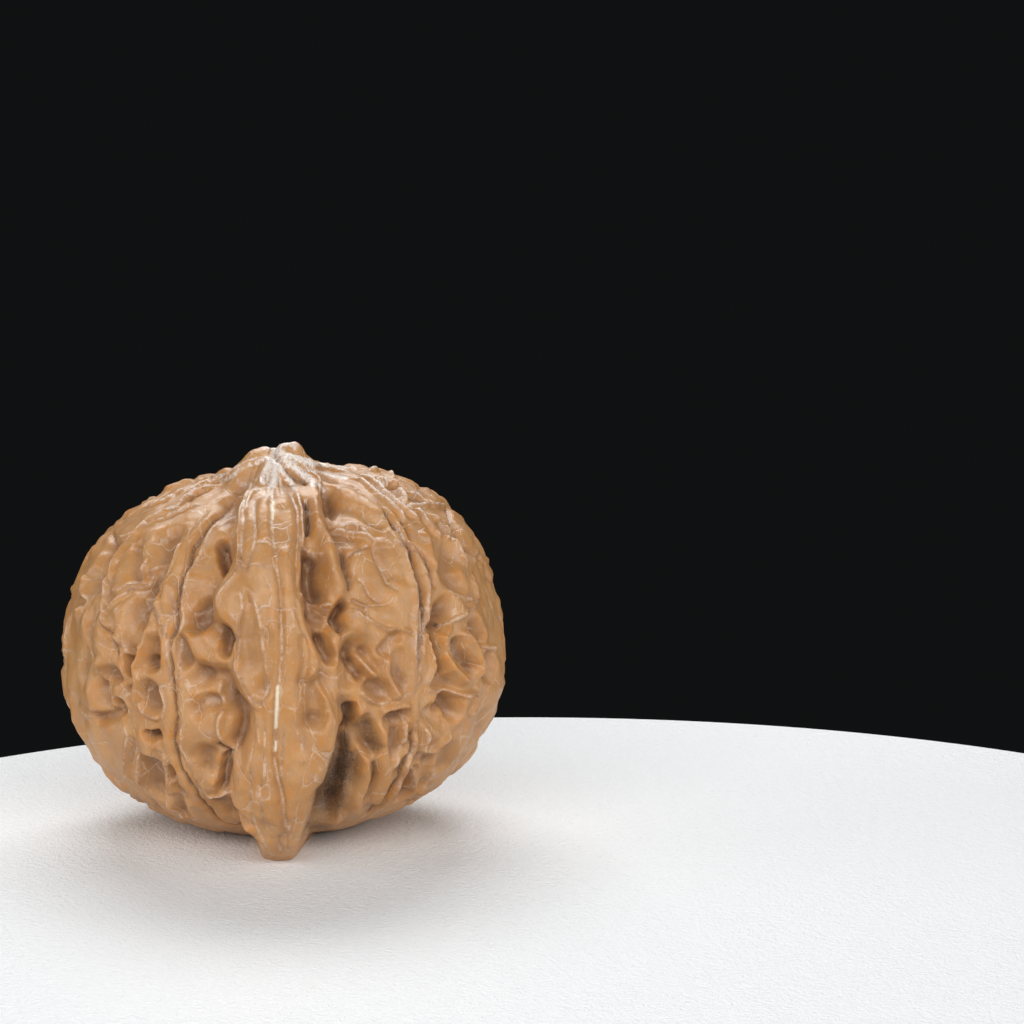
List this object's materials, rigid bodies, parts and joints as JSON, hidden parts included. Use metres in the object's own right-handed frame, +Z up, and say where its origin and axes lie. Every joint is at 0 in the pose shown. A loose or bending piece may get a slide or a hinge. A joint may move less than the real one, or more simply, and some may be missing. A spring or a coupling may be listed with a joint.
{
  "type": "wenwan walnut",
  "caption": "Whole ribbed walnut shell for rolling in the hand: rounded body with a raised seam ridge, deep folds and a low tip, resting on a small flat spot.",
  "frame": {"origin": "middle of the base, on the surface the nut stands on", "axes": "+X across the nut's width, -Y towards the side the picture shows, along the seam's plane, +Z up to the tip"},
  "size_m": [0.044, 0.0466, 0.039],
  "materials": {
    "shell": "satin"
  },
  "bodies": {
    "root": {"walnut": "shell"}
  },
  "joints": []
}
